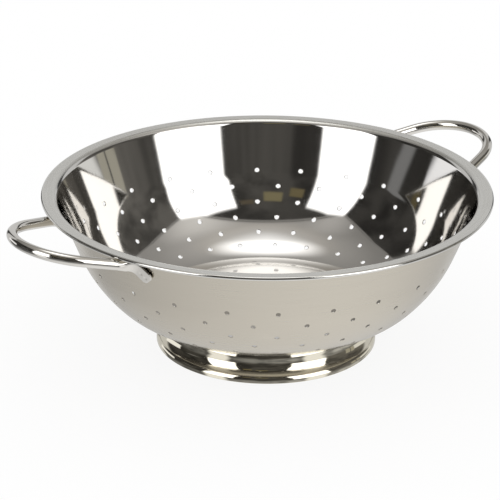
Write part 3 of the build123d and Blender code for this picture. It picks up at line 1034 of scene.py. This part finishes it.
# Openings at both sides, dim windows high in the middle and a dark line, with colours, and a pale patch
OPENINGS = (
    ((95.0, 109.0), (-8.0, 10.8), 0.7, 0.7, (0.45, 0.43, 0.36, 1)),
    ((109.0, 132.0), (-8.0, 6.2), 0.9, 0.9, (0.92, 0.92, 0.90, 1)),
    ((-132.0, -105.0), (-8.0, 7.6), 0.9, 0.9, (1.20, 1.20, 1.22, 1)),
    ((-27.0, -17.0), (34.0, 41.0), 1.0, 1.0, (0.18, 0.15, 0.08, 1)),
    ((-12.0, 2.0), (38.5, 46.0), 1.0, 1.0, (0.24, 0.21, 0.12, 1)),
    ((10.0, 21.0), (44.5, 48.0), 1.0, 1.0, (0.12, 0.10, 0.07, 1)),
    ((102.0, 103.0), (-8.0, 13.0), 0.4, 0.7, (0.07, 0.07, 0.07, 1)),
)
PALE_PATCH = ((-86.0, 12.6), (10.0, 1.6), 0.3, 1.2)
PALE_PATCH_LEVEL = 0.24

# White panels: their light on the floor, levels and edges, and their tops, which fall from an azimuth on
FLOOR_LIGHTS = (((-65.0, -42.0), (-36.0, 0.0), 4.0, 9.0), ((42.0, 66.0), (-36.0, 0.0), 4.0, 9.0))
FLOOR_LIGHT_LEVEL = 1.15
LEFT_LEVEL, RIGHT_LEVEL = 2.5, 2.6
PANEL_FOOT = (-4.0, 2.0)
LEFT_PANEL = (-65.0, -33.0, 1.2)
LEFT_TOP = (49.5, 45.5)
RIGHT_TOP = (51.5, 47.5)
TOP_FALLS_FROM, TOP_FALL = 53.0, 0.33
RIGHT_OUTER, OUTER_LEANS_FROM, OUTER_LEAN = 67.2, 20.0, 0.28
RIGHT_INNER, INNER_STEP, INNER_STEP_HEIGHTS = 25.2, 2.2, (28.0, 22.0)
OUTER_EDGE = (1.3, -1.3)
INNER_EDGE = (-1.2, 1.2)


class Studio(Sums):
    """Colour of the studio in every direction, built up by layers that each lie over those before."""

    def __init__(self, tree):
        super().__init__(tree)
        self.toward = self.node("TexCoord", {}).outputs["Generated"]
        right = (math.cos(VIEW_TURN), math.sin(VIEW_TURN), 0)
        back = (-math.sin(VIEW_TURN), math.cos(VIEW_TURN), 0)
        self.x, self.y, z = (self.dot(self.toward, axis) for axis in (right, back, (0, 0, 1)))
        self.azimuth = self.times(self.math("ARCTAN2", self.x, self.times(self.y, -1.0)), DEGREES)
        self.elevation = self.times(self.math("ARCSINE", z), DEGREES)
        self.around = self.math("ABSOLUTE", self.azimuth)
        height = self.math("MAXIMUM", z, LEAST_HEIGHT)
        self.across = self.math("DIVIDE", self.x, height)
        self.behind = self.math("DIVIDE", self.y, height)
        self.colour = self.ramp(self.elevation, SURROUNDINGS)

    def lay(self, mask, colour, blend="MIX"):
        self.colour = self.over(mask, self.colour, colour, blend)

    def window(self, azimuth, azimuths, elevations, soft_across, soft_up):
        """1 between two azimuths and two elevations."""
        sides = self.band(azimuth, *azimuths, soft_across)
        return self.times(sides, self.band(self.elevation, *elevations, soft_up))

    def lay_slope_and_glows(self):
        floor_slope = self.times(self.rise(self.elevation, *FLOOR_FROM), self.times(self.y, DARKER_BEHIND))
        slope = self.minus(self.times(self.x, BRIGHTER_RIGHT), floor_slope)
        self.colour = self.scaled(self.colour, self.plus(slope, 1.0))
        for oval, level in CEILING_GLOWS:
            self.lay(self.oval(self.azimuth, self.elevation, *oval), grey(level, GLOW_WARMTH), "ADD")

    def lay_softbox(self):
        strength = self.plus(self.times(self.rise(self.behind, *SOFTBOX_WHOLE_FROM), 0.5), 0.5)
        self.lay(self.times(self.oval(self.across, self.behind, *SOFTBOX), strength), grey(SOFTBOX_LEVEL))

    def lay_backdrop(self):
        backdrop = self.times(self.rise(self.around, *BACK_FROM), self.band(self.elevation, *BACKDROP))
        self.lay(backdrop, grey(BACKDROP_LEVEL))
        self.lay(self.window(self.around, *STREAK), grey(STREAK_LEVEL))

    def past_ceiling(self):
        """How far a direction is past the nearest edge of the pale ceiling."""
        past = []
        for direction, place, slant in CEILING_SIDES:
            edge = self.plus(self.times(self.behind, slant), place)
            past.append(self.minus(self.times(self.across, direction), edge))
        front = self.minus(self.times(self.behind, -1.0), CEILING_FRONT)
        return self.math("MAXIMUM", self.math("MAXIMUM", *past), front)

    def lay_room(self):
        past = self.past_ceiling()
        in_front = self.rise(self.around, *reversed(BACK_FROM))
        overhead = self.rise(self.elevation, *CEILING_FROM)
        self.lay(self.times(in_front, self.rise(past, *BORDER), overhead), grey(*BORDER_SHADE))
        self.lay(self.times(in_front, self.band(past, *SEAM), overhead), grey(*SEAM_SHADE))
        room = self.times(in_front, self.rise(past, *ROOM_EDGE), self.rise(self.elevation, *ROOM_FROM))
        lighter = self.plus(self.times(self.azimuth, ROOM_LIGHTER_BY), 1.0)
        mottle = self.rise(self.noise(self.toward, MOTTLE_SCALE, detail=3.0), *MOTTLE_RANGE)
        mottle = self.plus(self.times(mottle, MOTTLE_GAIN), MOTTLE_LOW)
        strength = self.times(self.math("MAXIMUM", ROOM_LEAST, lighter), mottle)
        self.lay(room, self.scaled(self.ramp(self.elevation, ROOM_SHADES), strength))

    def lay_openings(self):
        for *opening, colour in OPENINGS:
            self.lay(self.window(self.azimuth, *opening), colour)
        self.lay(self.oval(self.azimuth, self.elevation, *PALE_PATCH), grey(PALE_PATCH_LEVEL))

    def lay_panels(self):
        for light in FLOOR_LIGHTS:
            self.lay(self.window(self.azimuth, *light), grey(FLOOR_LIGHT_LEVEL))
        fallen = self.times(self.math("MAXIMUM", 0.0, self.minus(self.around, TOP_FALLS_FROM)), TOP_FALL)
        below_top = self.plus(self.elevation, fallen)
        standing = self.rise(self.elevation, *PANEL_FOOT)
        left = self.times(self.band(self.azimuth, *LEFT_PANEL), self.rise(below_top, *LEFT_TOP))
        self.lay(self.times(left, standing), grey(LEFT_LEVEL))
        above = self.math("MAXIMUM", 0.0, self.minus(self.elevation, OUTER_LEANS_FROM))
        outer = self.plus(self.times(above, OUTER_LEAN), RIGHT_OUTER)
        low_down = self.rise(self.elevation, *INNER_STEP_HEIGHTS)
        inner = self.plus(self.times(low_down, INNER_STEP), RIGHT_INNER)
        before_outer = self.rise(self.minus(self.azimuth, outer), *OUTER_EDGE)
        past_inner = self.rise(self.minus(self.azimuth, inner), *INNER_EDGE)
        right = self.times(before_outer, past_inner, self.rise(below_top, *RIGHT_TOP))
        self.lay(self.times(right, standing), grey(RIGHT_LEVEL))


def studio_world():
    """World that glossy rays see as the studio, and all other rays as plain white."""
    world = bpy.data.worlds.new("studio")
    scene.world = world
    world.use_nodes = True
    nodes, links = world.node_tree.nodes, world.node_tree.links
    studio = Studio(world.node_tree)
    studio.lay_slope_and_glows()
    studio.lay_softbox()
    studio.lay_backdrop()
    studio.lay_room()
    studio.lay_openings()
    studio.lay_panels()
    mirrored = nodes["Background"]
    links.new(studio.colour, mirrored.inputs["Color"])
    plain = studio.node("Background", {"Color": (1, 1, 1, 1)})
    glossy = studio.node("LightPath", {}).outputs["Is Glossy Ray"]
    mix = studio.node("MixShader", {"Fac": glossy, 1: plain.outputs[0], 2: mirrored.outputs[0]})
    links.new(mix.outputs[0], nodes["World Output"].inputs["Surface"])


studio_world()

# Floor: half its side in metres, its own grey, and the strength of the white light that it gives off
FLOOR_HALF = 3.0
FLOOR_GREY = 0.12
FLOOR_GLOW = 0.88


def make_floor():
    """Matt pale floor that glossy rays pass through, so that the steel sees the studio's own floor."""
    mesh = bpy.data.meshes.new("floor")
    corners = [(x * FLOOR_HALF, y * FLOOR_HALF, 0) for x, y in ((-1, -1), (1, -1), (1, 1), (-1, 1))]
    mesh.from_pydata(corners, [], [(0, 1, 2, 3)])
    material = bpy.data.materials.new("floor_white")
    material.use_nodes = True
    shader = material.node_tree.nodes["Principled BSDF"]
    for key, value in (
        ("Base Color", grey(FLOOR_GREY)),
        ("Roughness", 1.0),
        ("Specular IOR Level", 0.0),
        ("Emission Color", grey(1.0)),
        ("Emission Strength", FLOOR_GLOW),
    ):
        shader.inputs[key].default_value = value
    mesh.materials.append(material)
    obj = bpy.data.objects.new("floor", mesh)
    scene.collection.objects.link(obj)
    obj.visible_glossy = False
    return obj


floor = make_floor()

# Camera: lens and sensor in millimetres, angles by which it looks down and is rolled, distance and shifts
# in rim radii, and the height on the axis that it is placed from
LENS = 149.35
SENSOR = 36.0
LOOK_DOWN = 0.395734
ROLL = 0.005434
DISTANCE = 9.2
SHIFT_RIGHT = -0.0761841
SHIFT_UP = -0.2691149
VIEW_HEIGHT = 107.3


def place_camera():
    """Camera at the photo's angle, made the scene's own."""
    forward = Vector((0, math.cos(LOOK_DOWN), -math.sin(LOOK_DOWN)))
    level = Vector((1, 0, 0))
    steep = level.cross(forward)
    right = level * math.cos(ROLL) + steep * math.sin(ROLL)
    upward = steep * math.cos(ROLL) - level * math.sin(ROLL)
    place = (-forward * DISTANCE + right * SHIFT_RIGHT + upward * SHIFT_UP) * RIM_RADIUS * MM
    turn = Matrix.Rotation(VIEW_TURN, 3, "Z")
    matrix = Matrix([turn @ axis for axis in (right, upward, -forward)]).transposed().to_4x4()
    matrix.translation = turn @ place + Vector((0, 0, VIEW_HEIGHT * MM))
    camera = bpy.data.objects.new("camera", bpy.data.cameras.new("camera"))
    camera.data.lens = LENS
    camera.data.sensor_width = SENSOR
    camera.matrix_world = matrix
    scene.collection.objects.link(camera)
    scene.camera = camera


place_camera()
